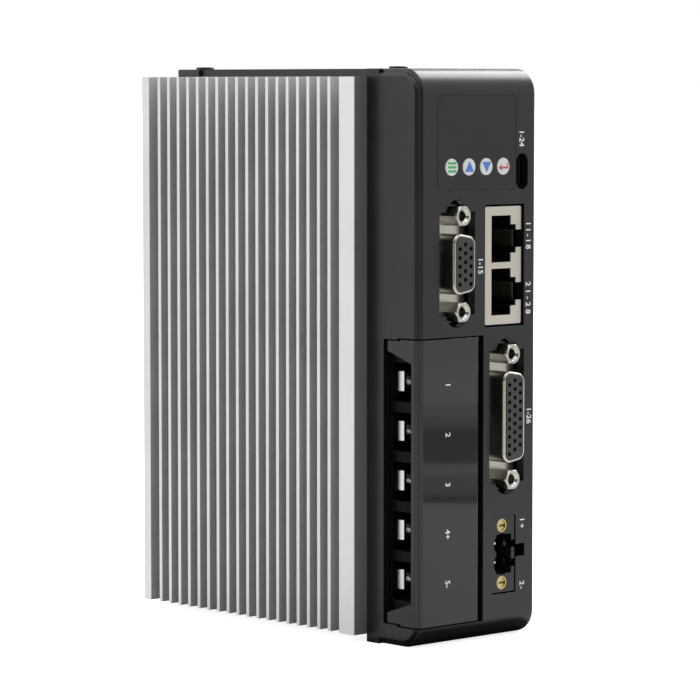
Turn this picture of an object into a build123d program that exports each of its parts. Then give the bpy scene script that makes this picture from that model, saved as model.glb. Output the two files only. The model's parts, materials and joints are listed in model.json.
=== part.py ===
from build123d import *
import math
import os

os.makedirs("parts", exist_ok=True)

# A compact servo drive that stands upright.  Its front faces -Y, the heatsink's fins reach
# out to -X and +Z is up.  The origin lies under the middle of the whole drive.  All lengths
# are millimetres.  "x" runs from the drive's left side to the right, "depth" runs from its
# front face to the back, and heights run up from its base.

# ---- housing ----
body_w = 42.7          # width across the plastic front
upper_h = 70.1         # height of the front above the door's top edge
body_d = 107.0         # front face to the back of the heatsink
cap_d = 15.0           # depth of the plastic front shell
panel_d = 19.6         # depth of the left side panel, up to the heatsink
wall = 2.5             # front shell wall
plate_t = 2.1          # rear cover's sheet
wing_x = 0.6           # the cover's top and bottom reach over the ends of the fins to here
wing_end = 9.0         # and stop this far from the back
wing_r = 2.0
panel_t = 2.3          # left side panel
rim = 0.92             # each of the two rounded steps along the left edge
corner_r = 6.5         # front corners seen from the side
edge_r = 0.8           # the right edge of the front shell
gap = 0.2              # gap between fixed pieces that don't have to touch
seam = 0.4             # gap that shows around the door and the header

# ---- heatsink ----
fin_reach = 4.4        # how far the fins stand out past the left side
fin_depth = 13.0       # fin tip to the base plate
base_t = 7.6           # heatsink's base plate
front_fin_t = 6.0
back_fin_t = 2.9
last_fin = 4.34        # from the last thin fin to the thick back fin
fin_t = 1.15
first_fin = 9.95       # from the front face of the thick front fin to the first thin fin
fin_count = 18

# ---- terminal door and block ----
door_z = 5.6           # lower edge of the door
door_h = 74.9
right_strip = 20.8     # from the door's right edge to the right side
door_t = 2.0
finger_gap = 1.7       # to the right of the door, where a fingertip opens it
strip_d = 2.7          # depth of the strip that wraps around the left edge
ear_d = 12.4           # how far the ears reach back
ear_t = 1.3
ear_front_h = 6.3      # an ear's height at the front, and at the back
ear_back_h = 2.4
ear_step = 0.45        # the ear is lower than the door by this, behind ear_step_d
ear_step_d = 8.1
ear_sweep = 0.9        # the ear steps down this much earlier, so that it swings past the panel
side_open_d = 13.2     # depth of the opening in the side panel
lug_t = 1.6
lug_w = 3.6
hinge_x = 2.0
hinge_d = 9.5
hinge_pin_r = 0.9
hinge_clear = 0.05
pin_seat = 2.2         # how far each hinge pin reaches into its boss
boss_end = 0.75        # boss left beyond the pin's end
boss_w = 2.2           # from the hinge line to the boss's right side
catch_h = 10.0
catch_l = 4.0
catch_t = 1.2
catch_gap = 0.8        # between the catch and the terminal block
floor_d = 8.0          # floor of the finger gap

bay_count = 5
bays_margin = 9.65     # height of the door that the bays leave free
divider_t = 2.65
block_x = 2.6
block_end_x = 2.4      # from the block's right side to the door's right edge
block_front_d = 4.2
bay_back_t = 6.9       # block's wall behind a bay, up to the side panel's depth
bay_side_t = 2.4       # the block's wall on the right of the bays
block_end_t = 1.0
bar_t = 1.0            # tinned conductor behind each clamp plate
clamp_t = 1.2
clamp_tab_t = 0.9      # the plate's left end is bent forwards, towards the wire
clamp_tab_l = 0.7
clamp_tab_slant = 0.55 # and leans in by this much
clamp_x = 4.6
clamp_end = 1.3        # from a clamp plate to the bay's right wall
clamp_h = 5.2
wire_screw_r = 1.75
wire_head_r = 3.0
wire_head_t = 2.1
wire_screw_shift = 0.2 # from a clamp plate's middle to its screw
wire_screw_l = 6.0
cross_l = 3.8          # cross recess in a terminal screw's head
cross_w = 0.9
cross_deep = 1.2

# ---- front panel ----
overlay_x = 6.75
overlay_top = 6.95     # from the overlay to the top
overlay_h = 24.7
overlay_t = 0.5
overlay_r = 1.6
overlay_gap = 0.15
window_side = 1.95     # from the overlay's left edge to the window
window_end = 0.95      # from the window to the overlay's right edge
window_up = 10.75      # from the overlay's lower edge to the window
window_h = 9.8
window_t = 1.6
window_ledge = 0.8
key_side = 4.95        # from the overlay's left edge to the first key's middle
key_end = 4.71         # from the last key's middle to the overlay's right edge
key_up = 6.1           # from the overlay's lower edge to the keys' middle
key_between = 1.82     # between two neighbouring keys
key_clear = 0.1
key_proud = 0.3
key_flange_gap = 0.24  # from a key's flange to half way to the next key
key_switch_gap = 0.14  # from a key's switch to half way to the next key
key_flange_t = 0.6
key_stem_r = 1.2
key_travel = 0.3
key_names = ["button_menu", "button_up", "button_down", "button_enter"]

# ---- circuit boards ----
board_t = 1.6
display_board_d = 8.8
control_board_room = 1.0   # between the control board and the heatsink
bar_leg_gap = 1.5      # between the block and the conductors' bent legs
boss_r = 2.4
board_screw_r = 1.0
board_head_r = 1.9
board_head_t = 1.3
board_screw_l = 6.0
small_cross_l = 2.2
small_cross_w = 0.5
small_cross_deep = 0.7
board_edge = 0.6       # a board's edge stays this far from the housing

# ---- D-shaped ports ----
port_flange_d = 3.3    # the flange lies this far behind the front face
port_flange_t = 0.8
port_flange_w = 12.4
port_reach = 2.9       # the shell's rim stands this far in front of the front face
port_shell_w = 7.9
port_shell_t = 0.8
port_rim_r = 0.6
port_slope = 10.0      # degrees, each slanted side of the D
port_core_reach = 3.1
port_body_edge = 0.5    # the body behind the flange is this much shorter at each end
contact_r = 0.57
contact_bore_r = 0.36
contact_bore_l = 4.0
contact_pitch = 2.29
contact_row = 1.98
contact_sink = 1.8      # the contacts start this far behind the core's face
jack_hex_r = 2.5       # half the width across flats
jack_reach = 2.4
jack_crown_r = 2.45      # the hexagon's corners are turned down to this at its face
jack_sink_r = 1.85      # mouth of the threaded hole
jack_bore_r = 1.22
jack_bore_l = 5.0
jack_stud_r = 1.4
jack_stud_l = 4.5      # length of its thread behind the flange
jack_stud_room = 0.5
jack_bulge_r = 4.2     # room around each jackscrew for a plug's thumbscrew
feedback_side = 28.8   # from the right side to the port's middle
feedback_up = 0.2    # above the middle of the space between the door and the overlay
feedback_shell_l = 16.75
feedback_flange_l = 30.8
feedback_jacks = 25.0
feedback_count_by_row = [5, 5, 5]
signal_side = 10.45
signal_share = 0.52  # how far up it sits between the header and the network ports
signal_shell_l = 25.2
signal_flange_l = 39.2
signal_jacks = 33.3
signal_count_by_row = [9, 9, 8]

# ---- network ports ----
net_right = 11.4       # from the right side to the ports' middle
net_down = 0.775       # below the middle of the space between the door and the overlay
net_w = 13.4
net_h = 31.1
net_d = 0.6
net_gap = 0.55
net_t = 0.35
net_pitch = 13.95
net_main_w = 7.1
net_main_h = 12.3
net_side = 2.4         # metal to the left of the opening
net_step_w = 1.9
net_step_h = 7.5
net_latch_h = 4.65
net_port_l = 13.0

# ---- small service port ----
usb_right = 5.05       # from the right side to the port's middle
usb_up = 4.65          # from the overlay's lower edge to the port's middle
usb_gap = 0.25         # between the overlay and the port's opening
usb_slot_w = 4.3
usb_slot_h = 9.6
usb_w = 3.3
usb_h = 9.0
usb_t = 0.3
usb_d = 2.5
usb_tongue_w = 0.7
usb_tongue_h = 6.7

# ---- brake resistor header ----
head_right = 15.85     # from the right side to the header's left side
head_z = 12.2
head_w = 8.5
head_h = 20.3
head_d = 0.15
head_pin_in = 3.9      # from the header's left side to its pins
head_pin_pitch = 5.08
head_pin_t = 1.0
head_pin_d = 2.8
head_mouth_in = 1.8    # from the header's left side to its mouth
head_mouth_w = 5.6
head_mouth_h = 10.5
head_mouth_l = 8.5
head_lobe_r = 3.0
head_gap = 0.06        # at the header's left side and top, where it fits tightly
head_screw_r = 1.8
head_screw_pitch = 15.24
head_screw_l = 8.0
head_dish_r = 1.4      # hollow in each brass screw's face
head_dish_deep = 0.35
head_slot_w = 0.65
head_slot_deep = 0.7
head_key_w = 1.3
head_key_h = 2.0
head_key_l = 3.0
head_lock_w = 3.3
head_lock_h = 3.4
head_lock_up = 0.6     # above the header's middle

# ---- fasteners and what lies inside ----
m3_r = 1.5
m3_clear = 0.05
cover_head_r = 2.5
cover_head_t = 0.65
cover_screw_l = 8.0
cover_screw_x = 13.4
sunk_head_r = 2.8
sunk_head_t = 1.3
hex_key_r = 1.0        # hexagon recess in the housing screws
hex_key_deep = 1.2
inner_screw_l = 4.5    # screws and pillars that go into the heatsink's base plate
cover_screw_start = 2.3    # from the heatsink's front to the front pair
cover_screw_end = 6.0      # from the back pair to the back
mount_screw_r = 1.65       # M4 tapped holes in the back
mount_screw_l = 12.0
mount_screw_z = 20.3
pillar_r = 2.5
pillar_front = 26.0
pillar_end = 9.0
pillar_margin = 9.0
pad_t = 0.5
switch_gap = 1.8       # between two neighbouring power switches
switch_h = 15.5
switch_t = 4.4
switch_z = 48.0
switch_first = 36.0
switch_end = 12.0      # from the last switch's middle to the back
switch_count = 6
tab_t = 1.3
tab_h = 6.0
lead_w = 0.8
lead_pitch = 2.54
lead_l = 5.0
cap_r = 8.0
cap_gap = 0.6          # between the capacitors and the insulating sheet
cap_first_z = 74.0
cap_pitch = 20.0
cap_count = 3
cap_back = 27.0        # from the capacitors' middle to the back
sheet_t = 0.3
sheet_front = 6.0      # the insulating sheet starts this far behind the front shell
sheet_edge = 3.0       # and stays this far from the plates at its other edges
link_w = 5.0
link_l = 9.0
link_h = 20.0
chip_end = 1.5         # from the control chip to the board's edge
chip_t = 1.4
driver_w = 6.0
driver_h = 10.0

# ---- worked out from the sizes above ----
body_h = door_z + door_h + upper_h
control_board_d = panel_d - control_board_room - board_t
door_w = body_w - right_strip
bay_pitch = (door_h - bays_margin) / bay_count
block_w = door_w - block_x - block_end_x
clamp_l = block_x + block_w - bay_side_t - clamp_end - clamp_x
bay_d = panel_d - bay_back_t
power_board_x = block_x + block_w + bar_leg_gap + bar_t
wire_screw_x = clamp_x + clamp_l / 2 + wire_screw_shift
fin_pitch = (body_d - back_fin_t - last_fin - panel_d - first_fin) / (fin_count - 1)

feedback_x = body_w - feedback_side
signal_x = body_w - signal_side
net_x = body_w - net_right
usb_x = body_w - usb_right
head_x = body_w - head_right
head_pin_x = head_x + head_pin_in
head_mouth_x = head_x + head_mouth_in

overlay_z = body_h - overlay_top - overlay_h
overlay_w = usb_x - usb_slot_w / 2 - usb_gap - overlay_x
window_x = overlay_x + window_side
window_z = overlay_z + window_up
window_w = overlay_w - window_side - window_end
key_x = overlay_x + key_side
key_z = overlay_z + key_up
key_pitch = (overlay_w - key_side - key_end) / (len(key_names) - 1)
key_r = (key_pitch - key_between) / 2
key_flange_r = key_pitch / 2 - key_flange_gap
key_switch_half = key_pitch / 2 - key_switch_gap
usb_z = overlay_z + usb_up
upper_mid_z = (door_z + door_h + overlay_z) / 2
feedback_z = upper_mid_z + feedback_up
net_z = upper_mid_z - net_down
head_top_z = head_z + head_h
signal_z = head_top_z + signal_share * (net_z - net_h / 2 - head_top_z)

cover_screw_front = panel_d + cover_screw_start
cover_screw_back = body_d - cover_screw_end
pillar_back = body_d - pillar_end
cap_depth = body_d - cap_back
cap_l = body_w - plate_t - sheet_t - cap_gap - power_board_x - board_t
switch_pitch = (body_d - switch_end - switch_first) / (switch_count - 1)
switch_w = switch_pitch - switch_gap

left = (fin_reach - body_w) / 2
front = port_core_reach - (body_d + port_core_reach) / 2
face = Plane(origin=(left, front, 0), x_dir=(1, 0, 0), z_dir=(0, -1, 0))
side = Plane(origin=(left, front, 0), x_dir=(0, 1, 0), z_dir=(1, 0, 0))
plan = Plane(origin=(left, front, 0), x_dir=(1, 0, 0), z_dir=(0, 0, 1))

door_top = door_z + door_h
door_mid = door_z + door_h / 2
door_open_x = door_w + finger_gap
partition_t = 1.4
base_x = fin_depth - fin_reach            # left face of the heatsink's base plate
base_mid_x = base_x + base_t / 2
base_back_x = base_x + base_t             # face that carries the power switches
block_z = door_mid - bay_count * bay_pitch / 2 - block_end_t
block_h = bay_count * bay_pitch + 2 * block_end_t
bay_zs = [door_mid + (i - (bay_count - 1) / 2) * bay_pitch for i in range(bay_count)]
key_xs = [key_x + i * key_pitch for i in range(len(key_names))]
cover_screws = [(cover_screw_x, cover_screw_front), (cover_screw_x, cover_screw_back)]
tab_z = switch_z - switch_h / 2 - tab_h / 2
switch_ds = [switch_first + i * switch_pitch for i in range(switch_count)]
switch_x = base_back_x + pad_t
cap_zs = [cap_first_z + i * cap_pitch for i in range(cap_count)]
board_right_x = body_w - wall - board_edge
port_body_w = port_flange_w - 2.0
net_cut_w = net_w + 2 * net_gap
net_cut_h = net_h + 2 * net_gap
net_left = net_x - net_w / 2
net_main_x = net_left + net_side
net_step_x = net_main_x + net_main_w
net_latch_x = net_step_x + net_step_w
head_mid_z = head_z + head_h / 2
shell_right_x = head_x + head_w + seam

tongue_t = wall - plate_t + 1.2
board_low = plate_t + tongue_t + board_edge
board_top = body_h - board_low
hinge_pin_l = lug_t + seam + pin_seat
boss_h = pin_seat + boss_end
pin_hole_low = door_z - seam + ear_step - boss_h
pin_hole_top = door_top + seam - ear_step + boss_h
left_boss_x = panel_t + boss_r + board_edge / 2
right_boss_x = body_w - wall - boss_r - board_edge / 2
top_boss_z = board_top - boss_r + board_edge
display_bosses = [
    (left_boss_x, top_boss_z),
    (right_boss_x, top_boss_z),
    (left_boss_x, overlay_z + boss_r),
]
between_ports_x = (feedback_x + port_flange_w / 2 + net_left) / 2
control_bosses = [
    (between_ports_x, net_z + net_h / 2 - 2),
    (between_ports_x, net_z - net_h / 2 + 2),
    (signal_x, head_z / 2 + 1.8),
    (signal_x - 1, (head_z + head_h + signal_z - signal_flange_l / 2) / 2),
]
pillars = [
    (depth, z)
    for depth in (pillar_front, pillar_back)
    for z in (plate_t + pillar_margin, body_h - plate_t - pillar_margin)
]


def behind(depth):
    """Plane parallel to the front face, at a depth; a negative amount extrudes to the back."""
    return face.offset(-depth)


def across(x):
    """Plane parallel to the left side, at a distance from it; extrudes to the right."""
    return side.offset(x)


def above(z):
    """Plane parallel to the base, at a height; extrudes upwards."""
    return plan.offset(z)


def box(x0, x1, d0, d1, z0, z1, mode=Mode.ADD):
    """A block between two values of x, of depth and of height."""
    with Locations(plan.location * Location(((x0 + x1) / 2, (d0 + d1) / 2, (z0 + z1) / 2))):
        Box(x1 - x0, d1 - d0, z1 - z0, mode=mode)


def rod(points, r, d0, d1, mode=Mode.ADD):
    """Round rods that run front to back, at points (x, z)."""
    with BuildSketch(behind(d0)) as ends:
        with Locations(*points):
            Circle(r)
    extrude(ends.sketch, amount=d0 - d1, mode=mode)


def side_outline(inset, back):
    """The housing seen from the side, shrunk by inset, with its two front corners round."""
    with BuildLine() as outline:
        FilletPolyline(
            (back, inset),
            (inset, inset),
            (inset, body_h - inset),
            (back, body_h - inset),
            radius=corner_r - inset,
        )
        Line((back, body_h - inset), (back, inset))
    make_face(outline.edges())


def save(piece, name):
    """Label a finished piece and write it as its own file."""
    piece.part.label = name
    export_step(piece.part, f"parts/{name}.step")


# ---- housing pieces ----

# Front shell: one moulding with the front wall and short top, bottom and right walls.
port_cuts = [
    (feedback_x, feedback_z, feedback_flange_l - 3.9, feedback_jacks),
    (signal_x, signal_z, signal_flange_l - 3.9, signal_jacks),
]

with BuildPart() as front_shell:
    with BuildSketch(across(rim)):
        side_outline(0, cap_d)
    extrude(amount=body_w - rim)
    left_edges = front_shell.faces().sort_by(Axis.X)[0].edges()
    right_edges = front_shell.faces().sort_by(Axis.X)[-1].edges()
    fillet(left_edges.sort_by(Axis.Y)[:-1], radius=rim * 0.98)
    fillet(right_edges.sort_by(Axis.Y)[:-1], radius=edge_r)
    with BuildSketch(across(0)):
        side_outline(rim, cap_d)
    extrude(amount=panel_t + gap, mode=Mode.SUBTRACT)
    with BuildSketch(across(0)):
        side_outline(wall, cap_d)
    extrude(amount=body_w - wall, mode=Mode.SUBTRACT)

    # Tongues that reach back under the rear cover.
    for z0 in (plate_t, body_h - plate_t - tongue_t):
        box(base_back_x + gap, body_w - plate_t, cap_d - 4, cap_d + 4, z0, z0 + tongue_t)

    # Shelf over the terminals and the partition beside them.
    box(hinge_x + boss_w + gap, door_open_x + partition_t, wall - 0.5, cap_d,
        door_top + seam, door_top + seam + partition_t)
    box(door_open_x, door_open_x + partition_t, wall - 0.5, cap_d, wall - 0.5, door_top + 1)
    box(block_x + block_w + gap, door_open_x + 0.5, floor_d, floor_d + partition_t,
        wall - 0.5, door_top + 1)

    # Bosses behind the front wall that carry the two front boards.
    rod(display_bosses, boss_r, wall - 0.5, display_board_d)
    rod(control_bosses, boss_r * 0.75, wall - 0.5, control_board_d)
    rod(display_bosses, board_screw_r, display_board_d - board_screw_l, display_board_d,
        Mode.SUBTRACT)
    rod(control_bosses, board_screw_r, control_board_d - board_screw_l, control_board_d,
        Mode.SUBTRACT)

    # Openings in the front wall.
    box(0, door_open_x, -1, wall + 1, door_z - seam, door_top + seam, Mode.SUBTRACT)
    with BuildSketch(behind(0)):
        for x, z, long_side, jacks in port_cuts:
            with Locations((x, z)):
                Rectangle(port_flange_w + seam, long_side)
            with Locations((x, z - jacks / 2), (x, z + jacks / 2)):
                Circle(jack_bulge_r)
        with Locations((net_x, net_z)):
            Rectangle(net_cut_w, net_cut_h)
        with Locations((usb_x, usb_z)):
            SlotOverall(usb_slot_h, usb_slot_w, rotation=90)
        with Locations((head_x + (head_w + seam - head_gap) / 2,
                        head_mid_z - (seam - head_gap) / 2)):
            Rectangle(head_w + seam + head_gap, head_h + seam + head_gap)
        with Locations((shell_right_x + head_lock_w / 2, head_mid_z + head_lock_up)):
            Rectangle(head_lock_w, head_lock_h)
        with Locations((window_x + window_w / 2, window_z + window_h / 2)):
            Rectangle(window_w - 2 * window_ledge, window_h - 2 * window_ledge)
        with Locations(*[(x, key_z) for x in key_xs]):
            Circle(key_r + key_clear)
    extrude(amount=-(wall + 0.1), mode=Mode.SUBTRACT)

    # Pockets for the overlay and for the window behind it.
    with BuildSketch(behind(0)):
        with Locations((overlay_x + overlay_w / 2, overlay_z + overlay_h / 2)):
            RectangleRounded(
                overlay_w + 2 * overlay_gap, overlay_h + 2 * overlay_gap, overlay_r + overlay_gap
            )
    extrude(amount=-overlay_t, mode=Mode.SUBTRACT)
    with BuildSketch(behind(overlay_t)):
        with Locations((window_x + window_w / 2, window_z + window_h / 2)):
            Rectangle(window_w, window_h)
    extrude(amount=overlay_t - window_t, mode=Mode.SUBTRACT)
save(front_shell, "front_shell")

# Left side panel: lies inside the front shell's rim, carries the door's hinge bosses.
with BuildPart() as side_panel:
    with BuildSketch(across(0)):
        side_outline(rim + 0.02, panel_d)
    extrude(amount=panel_t)
    outer = side_panel.faces().sort_by(Axis.X)[0].edges().sort_by(Axis.Y)
    fillet(outer[:-1], radius=rim * 0.98)
    box(0, panel_t, cap_d, panel_d, 0, body_h)
    for z0 in (pin_hole_low, pin_hole_top - boss_h):
        box(ear_t, hinge_x + boss_w, hinge_d - 2.8, hinge_d + 2.8, z0, z0 + boss_h)
    box(-1, panel_t + 3, -1, ear_step_d, door_z - seam, door_top + seam, Mode.SUBTRACT)
    box(-1, panel_t + 3, ear_step_d - 1, side_open_d,
        door_z - seam + ear_step, door_top + seam - ear_step, Mode.SUBTRACT)
    with BuildSketch(above(pin_hole_low)):
        with Locations((hinge_x, hinge_d)):
            Circle(hinge_pin_r + hinge_clear)
    extrude(amount=pin_hole_top - pin_hole_low, mode=Mode.SUBTRACT)
save(side_panel, "side_panel")

# Rear cover: folded sheet with top, bottom, right and back plates. The top and bottom plates
# have a wing that closes the ends of the channels between the fins.
with BuildPart() as rear_cover:
    with BuildSketch(above(0)):
        with BuildLine():
            Polyline(
                (panel_t + gap, cap_d),
                (body_w, cap_d),
                (body_w, body_d),
                (base_x, body_d),
                (base_x, panel_d),
                (panel_t + gap, panel_d),
                close=True,
            )
        make_face()
    extrude(amount=body_h)
    right_edges = rear_cover.faces().sort_by(Axis.X)[-1].edges()
    fillet(right_edges.sort_by(Axis.Y)[1:], radius=edge_r)
    box(panel_t + gap - 1, body_w - plate_t, cap_d - 1, body_d - plate_t,
        plate_t, body_h - plate_t, Mode.SUBTRACT)
    box(base_x - 1, base_back_x, body_d - plate_t - 1, body_d + 1,
        plate_t, body_h - plate_t, Mode.SUBTRACT)
    for z in (0, body_h - plate_t):
        with BuildSketch(above(z)) as wing:
            with BuildLine() as outline:
                Polyline((wing_x, panel_d), (base_x + 1, panel_d), (base_x + 1, body_d - wing_end),
                         (wing_x, body_d - wing_end), close=True)
            make_face(outline.edges())
            back_corner = wing.vertices().group_by(Axis.X)[0].sort_by(Axis.Y)[-1]
            fillet(back_corner, radius=wing_r)
        extrude(wing.sketch, amount=plate_t)
    with BuildSketch(above(0)):
        with Locations(*cover_screws):
            Circle(m3_r + m3_clear)
    extrude(amount=body_h, mode=Mode.SUBTRACT)
    with BuildSketch(above(0)):
        with Locations(*cover_screws):
            Circle(sunk_head_r + m3_clear)
    extrude(amount=sunk_head_t, taper=45, mode=Mode.SUBTRACT)
save(rear_cover, "rear_cover")

# Heatsink: one extrusion with a base plate, two thick end fins and a row of thin ones.
sink_z = plate_t
sink_h = body_h - 2 * plate_t
fin_ds = [panel_d + first_fin + i * fin_pitch for i in range(fin_count)]

with BuildPart() as heatsink:
    with BuildSketch(above(sink_z)):
        with Locations((base_mid_x, (panel_d + body_d) / 2)):
            Rectangle(base_t, body_d - panel_d)
        fin_x = base_x - fin_depth / 2
        with Locations((fin_x, panel_d + front_fin_t / 2)):
            Rectangle(fin_depth, front_fin_t)
        with Locations((fin_x, body_d - back_fin_t / 2)):
            Rectangle(fin_depth, back_fin_t)
        for depth in fin_ds:
            with Locations((fin_x, depth)):
                Rectangle(fin_depth, fin_t)
    extrude(amount=sink_h)
    for z, length in ((sink_z, cover_screw_l), (sink_z + sink_h, -cover_screw_l)):
        with BuildSketch(above(z)):
            with Locations(*cover_screws):
                Circle(m3_r + m3_clear)
        extrude(amount=length, mode=Mode.SUBTRACT)
    rod([(base_mid_x, mount_screw_z), (base_mid_x, body_h - mount_screw_z)],
        mount_screw_r, body_d - mount_screw_l, body_d, Mode.SUBTRACT)
    with BuildSketch(across(base_back_x)):
        with Locations(*pillars):
            Circle(board_screw_r)
        with Locations(*[(depth, tab_z) for depth in switch_ds]):
            Circle(m3_r + m3_clear)
    extrude(amount=-inner_screw_l, mode=Mode.SUBTRACT)
save(heatsink, "heatsink")


# ---- terminal door and its pins ----
with BuildPart() as door:
    with BuildSketch(above(door_z)):
        with BuildLine():
            CenterArc((rim, 2 * rim), rim, 180, 90)
            CenterArc((2 * rim, rim), rim, 180, 90)
            Polyline(
                (2 * rim, 0),
                (door_w, 0),
                (door_w, door_t),
                (ear_t, door_t),
                (ear_t, strip_d),
                (0, strip_d),
                (0, 2 * rim),
            )
        make_face()
    extrude(amount=door_h)
    right_edge = door.edges().filter_by(Axis.Z).group_by(Axis.X)[-1].sort_by(Axis.Y)[0]
    fillet(right_edge, radius=door_t / 4)

    # Two ears: triangular cheeks that reach back along the side, each with a lug for its pin.
    with BuildSketch(across(0)):
        for z, up in ((door_top, -1), (door_z, 1)):
            with BuildLine():
                Polyline(
                    (strip_d - 0.5, z),
                    (ear_step_d - seam - ear_sweep, z),
                    (ear_step_d - seam - ear_sweep, z + up * ear_step),
                    (ear_d, z + up * ear_step),
                    (ear_d, z + up * (ear_step + ear_back_h)),
                    (strip_d - 0.5, z + up * ear_front_h),
                    close=True,
                )
            make_face()
    extrude(amount=ear_t)
    for z in (door_z + ear_step, door_top - ear_step - lug_t):
        with BuildSketch(above(z)):
            with BuildLine():
                Polyline((0.2, door_t - 0.5), (lug_w, door_t - 0.5), (lug_w, hinge_d + 1.3),
                         (lug_w - 1.0, ear_d), (0.2, ear_d), close=True)
            make_face()
        extrude(amount=lug_t)
    back_corners = door.edges().filter_by(Axis.Z).group_by(Axis.Y)[-1].group_by(Axis.X)[0]
    fillet(back_corners, radius=ear_t * 0.75)
    # Catch that snaps behind the terminal block's edge.
    catch_x = block_x + block_w + catch_gap
    box(catch_x, catch_x + catch_t, door_t - 0.2, door_t + catch_l,
        door_mid - catch_h / 2, door_mid + catch_h / 2)
    with BuildSketch(above(door_z)):
        with Locations((hinge_x, hinge_d)):
            Circle(hinge_pin_r)
    extrude(amount=door_h, mode=Mode.SUBTRACT)
save(door, "terminal_door")

with BuildPart() as hinge_pins:
    for z in (door_z + ear_step + lug_t - hinge_pin_l, door_top - ear_step - lug_t):
        with BuildSketch(above(z)):
            with Locations((hinge_x, hinge_d)):
                Circle(hinge_pin_r)
        extrude(amount=hinge_pin_l)
save(hinge_pins, "door_hinge_pins")


# ---- terminal block ----
bar_d = bay_d + bar_t
block_right_x = block_x + block_w
wire_screw_end = clamp_t + wire_screw_l

with BuildPart() as terminal_block:
    box(block_x, block_right_x, block_front_d, panel_d, block_z, block_z + block_h)
    for z in bay_zs:
        half = (bay_pitch - divider_t) / 2
        slot = clamp_h / 2 + gap / 2
        box(block_x - 1, block_right_x - bay_side_t, block_front_d - 1, bay_d,
            z - half, z + half, Mode.SUBTRACT)
        box(clamp_x - gap, block_right_x + 1, bay_d - gap, bar_d, z - slot, z + slot,
            Mode.SUBTRACT)
        rod([(wire_screw_x, z)], wire_screw_r + m3_clear, bar_d - 0.1,
            bay_d - clamp_t + wire_screw_end + 0.2, Mode.SUBTRACT)
save(terminal_block, "terminal_block")

# Conductors: each lies flat in a bay and bends back to the power board.
with BuildPart() as terminal_bars:
    for z in bay_zs:
        half = clamp_h / 2
        box(clamp_x, power_board_x, bay_d, bar_d, z - half, z + half)
        box(power_board_x - bar_t, power_board_x, bay_d, pillar_front + 3, z - half / 2, z + half / 2)
        rod([(wire_screw_x, z)], wire_screw_r + m3_clear, bay_d - 0.1, bar_d + 0.1, Mode.SUBTRACT)
save(terminal_bars, "terminal_bars")

with BuildPart() as clamp_plates:
    for z in bay_zs:
        with BuildSketch(above(z - clamp_h / 2)):
            with BuildLine():
                Polyline(
                    (clamp_x, bay_d),
                    (clamp_x + clamp_tab_slant, bay_d - clamp_t - clamp_tab_l),
                    (clamp_x + clamp_tab_slant + clamp_tab_t, bay_d - clamp_t - clamp_tab_l),
                    (clamp_x + clamp_tab_slant + clamp_tab_t, bay_d - clamp_t),
                    (clamp_x + clamp_l, bay_d - clamp_t),
                    (clamp_x + clamp_l, bay_d),
                    close=True,
                )
            make_face()
        extrude(amount=clamp_h)
    rod([(wire_screw_x, z) for z in bay_zs], wire_screw_r + m3_clear, bay_d - clamp_t - 0.1,
        bay_d + 0.1, Mode.SUBTRACT)
save(clamp_plates, "clamp_plates")

with BuildPart() as terminal_screws:
    head_d0 = bay_d - clamp_t - wire_head_t
    points = [(wire_screw_x, z) for z in bay_zs]
    rod(points, wire_head_r, head_d0, bay_d - clamp_t)
    rims = terminal_screws.faces().filter_by(Axis.Y).group_by(Axis.Y)[0].edges()
    fillet(rims, radius=0.6)
    rod(points, wire_screw_r, bay_d - clamp_t - 0.1, bay_d - clamp_t + wire_screw_end)
    with BuildSketch(behind(head_d0)):
        with Locations(*points):
            Rectangle(cross_l, cross_w)
            Rectangle(cross_w, cross_l)
    extrude(amount=-cross_deep, mode=Mode.SUBTRACT)
save(terminal_screws, "terminal_screws")


# ---- front panel pieces ----
with BuildPart() as overlay:
    with BuildSketch(behind(0)):
        with Locations((overlay_x + overlay_w / 2, overlay_z + overlay_h / 2)):
            RectangleRounded(overlay_w, overlay_h, overlay_r)
        with Locations(*[(x, key_z) for x in key_xs]):
            Circle(key_r + key_clear, mode=Mode.SUBTRACT)
    extrude(amount=-overlay_t)
save(overlay, "display_overlay")

with BuildPart() as window:
    box(window_x + overlay_gap, window_x + window_w - overlay_gap, overlay_t, window_t,
        window_z + overlay_gap, window_z + window_h - overlay_gap)
save(window, "display_window")

digits_clear = window_ledge + 0.3
with BuildPart() as digit_display:
    box(window_x + digits_clear, window_x + window_w - digits_clear, wall + gap, display_board_d,
        window_z + digits_clear, window_z + window_h - digits_clear)
save(digit_display, "digit_display")

key_stem_end = wall + gap + key_flange_t + 0.6
for x, name in zip(key_xs, key_names):
    with BuildPart() as key:
        rod([(x, key_z)], key_r, -key_proud, wall + gap + key_flange_t)
        crown = key.faces().sort_by(Axis.Y)[0].edges()
        fillet(crown, radius=0.25)
        rod([(x, key_z)], key_flange_r, wall + gap, wall + gap + key_flange_t)
        rod([(x, key_z)], key_stem_r, wall + gap, key_stem_end)
    save(key, name)

switch_top = key_stem_end + 2 * key_travel
with BuildPart() as key_switches:
    for x in key_xs:
        box(x - key_switch_half, x + key_switch_half, switch_top + 0.9, display_board_d,
            key_z - key_switch_half, key_z + key_switch_half)
    rod([(x, key_z) for x in key_xs], key_stem_r + 0.5, switch_top, switch_top + 1.0)
save(key_switches, "key_switches")


# ---- circuit boards ----
def board_screws(points, board_d, name):
    """Small pan-head screws that hold a front board to the shell's bosses."""
    with BuildPart() as screws:
        rod(points, board_head_r, board_d + board_t, board_d + board_t + board_head_t)
        rod(points, board_screw_r * 0.95, board_d - board_screw_l + 1, board_d + board_t + 0.1)
        with BuildSketch(behind(board_d + board_t + board_head_t)):
            with Locations(*points):
                Rectangle(small_cross_l, small_cross_w)
                Rectangle(small_cross_w, small_cross_l)
        extrude(amount=small_cross_deep, mode=Mode.SUBTRACT)
    save(screws, name)


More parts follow.
